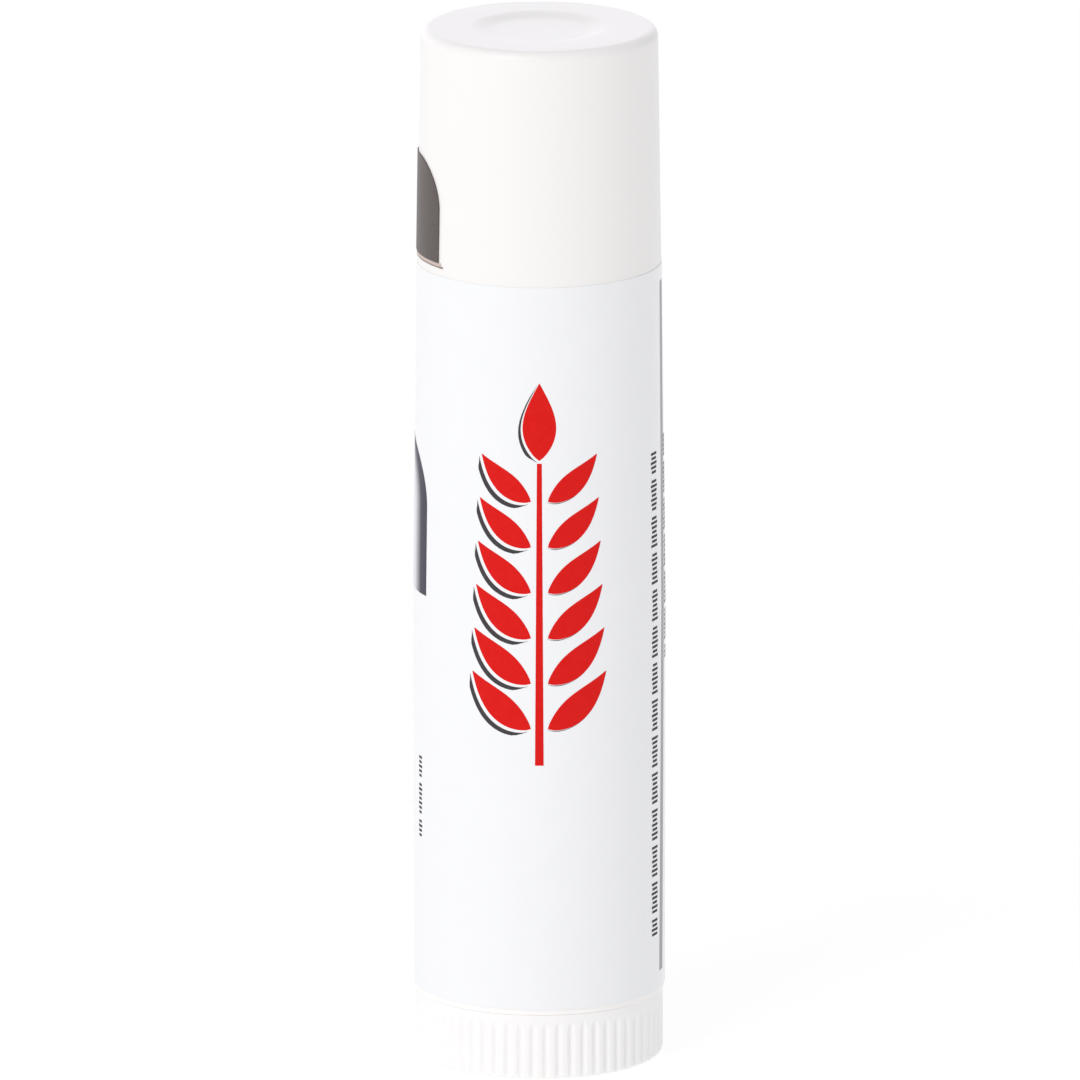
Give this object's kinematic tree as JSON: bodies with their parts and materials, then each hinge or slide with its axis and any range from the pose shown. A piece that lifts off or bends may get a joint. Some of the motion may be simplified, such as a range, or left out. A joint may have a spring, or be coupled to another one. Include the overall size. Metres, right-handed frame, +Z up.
{
  "type": "lip balm stick",
  "caption": "Twist-up lip balm stick: tapered white barrel with a wrapped label, ribbed dial at the foot, inner screw and cup that raise the balm, and a push-on cap with a dimpled top.",
  "frame": {"origin": "centre of the foot, on the surface it stands on", "axes": "+Z up along the stick's axis, the front of the label faces -Y, +X to the right of someone looking at the front"},
  "size_m": [0.016, 0.016, 0.067],
  "materials": {
    "cap_plastic": "satin moulded polypropylene, warm white",
    "barrel_plastic": "satin moulded polypropylene, warm white",
    "dial_plastic": "satin moulded polypropylene, warm white, ribbed",
    "label_film": "printed film, cool white, soft gloss",
    "screw_plastic": "natural acetal, slightly translucent",
    "cup_plastic": "natural polyethylene",
    "balm_wax": "poured wax, pale cream, soft sheen",
    "tab_film": "printed film, dark warm grey"
  },
  "bodies": {
    "barrel": {"barrel": "barrel_plastic", "label": "label_film"},
    "dial": {"dial": "dial_plastic", "spindle": "screw_plastic"},
    "carrier": {"carrier_cup": "cup_plastic", "balm": "balm_wax"},
    "cap": {"cap": "cap_plastic", "tamper_tab": "tab_film"}
  },
  "joints": [
    {"name": "dial_turn", "type": "hinge", "parent": "barrel", "child": "dial", "pos_m": [0, 0, 0], "axis": [0, 0, 1], "range_deg": [0, 4320]},
    {"name": "carrier_rise", "type": "slide", "parent": "barrel", "child": "carrier", "axis": [0, 0, 1], "range_m": [0, 0.045]},
    {"name": "cap_lift", "type": "slide", "parent": "carrier", "child": "cap", "axis": [0, 0, 1], "range_m": [0, 0.04]}
  ],
  "couplings": [
    {"joint": "dial_turn", "follows": "carrier_rise", "rad_per_m": 1675.5}
  ]
}
